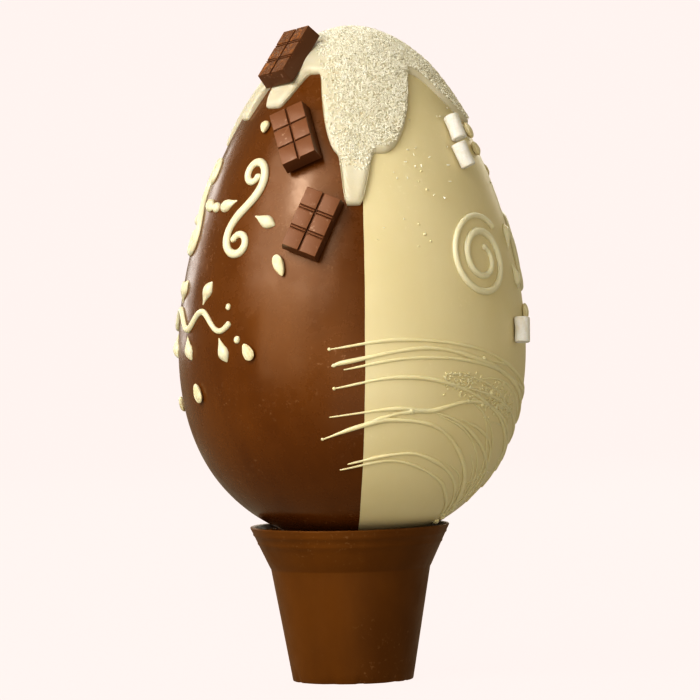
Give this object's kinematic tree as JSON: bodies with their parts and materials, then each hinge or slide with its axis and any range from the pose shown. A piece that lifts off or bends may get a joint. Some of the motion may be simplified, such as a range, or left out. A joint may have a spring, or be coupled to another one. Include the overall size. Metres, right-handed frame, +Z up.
{
  "type": "chocolate egg",
  "caption": "Tall decorated chocolate egg, half milk and half white, standing in a chocolate flower pot with icing, bars and piped ornament.",
  "frame": {"origin": "centre of the pot's flat underside", "axes": "+Z up along the pot's axis; the seam between the halves faces -Y, the milk half lies at -X and the white half at +X"},
  "size_m": [0.2135, 0.2112, 0.3927],
  "materials": {
    "milk_chocolate": "satin moulded milk chocolate",
    "white_chocolate": "satin moulded white chocolate",
    "pot_chocolate": "satin moulded milk chocolate, thick walled",
    "icing_white": "thick white icing, soft sheen",
    "bar_chocolate": "satin milk chocolate with crisp grooves",
    "marshmallow": "soft matte sugar sponge",
    "puffed_grain": "dry puffed grain",
    "piped_white": "piped white chocolate, soft gloss",
    "drizzle_white": "drizzled white chocolate, soft gloss"
  },
  "bodies": {
    "root": {"bar_back": "bar_chocolate", "bar_crown": "bar_chocolate", "bar_lower": "bar_chocolate", "bar_upper": "bar_chocolate", "egg_milk_half": "milk_chocolate", "egg_white_half": "white_chocolate", "grain_1": "puffed_grain", "grain_10": "puffed_grain", "grain_2": "puffed_grain", "grain_3": "puffed_grain", "grain_4": "puffed_grain", "grain_5": "puffed_grain", "grain_6": "puffed_grain", "grain_7": "puffed_grain", "grain_8": "puffed_grain", "grain_9": "puffed_grain", "icing_cap": "icing_white", "leaf_1": "piped_white", "leaf_10": "piped_white", "leaf_11": "piped_white", "leaf_12": "piped_white", "leaf_13": "piped_white", "leaf_14": "piped_white", "leaf_15": "piped_white", "leaf_16": "piped_white", "leaf_17": "piped_white", "leaf_18": "piped_white", "leaf_2": "piped_white", "leaf_3": "piped_white", "leaf_4": "piped_white", "leaf_5": "piped_white", "leaf_6": "piped_white", "leaf_7": "piped_white", "leaf_8": "piped_white", "leaf_9": "piped_white", "marshmallow_1": "marshmallow", "marshmallow_2": "marshmallow", "marshmallow_3": "marshmallow", "marshmallow_4": "marshmallow", "marshmallow_5": "marshmallow", "marshmallow_6": "marshmallow", "pearl_1": "piped_white", "pearl_2": "piped_white", "pot": "pot_chocolate", "scroll_1": "piped_white", "scroll_2": "piped_white", "scroll_3": "piped_white", "spiral_1": "piped_white", "spiral_2": "piped_white", "spiral_3": "piped_white", "strand_back": "drizzle_white", "strand_front": "drizzle_white", "vine": "piped_white"}
  },
  "joints": []
}
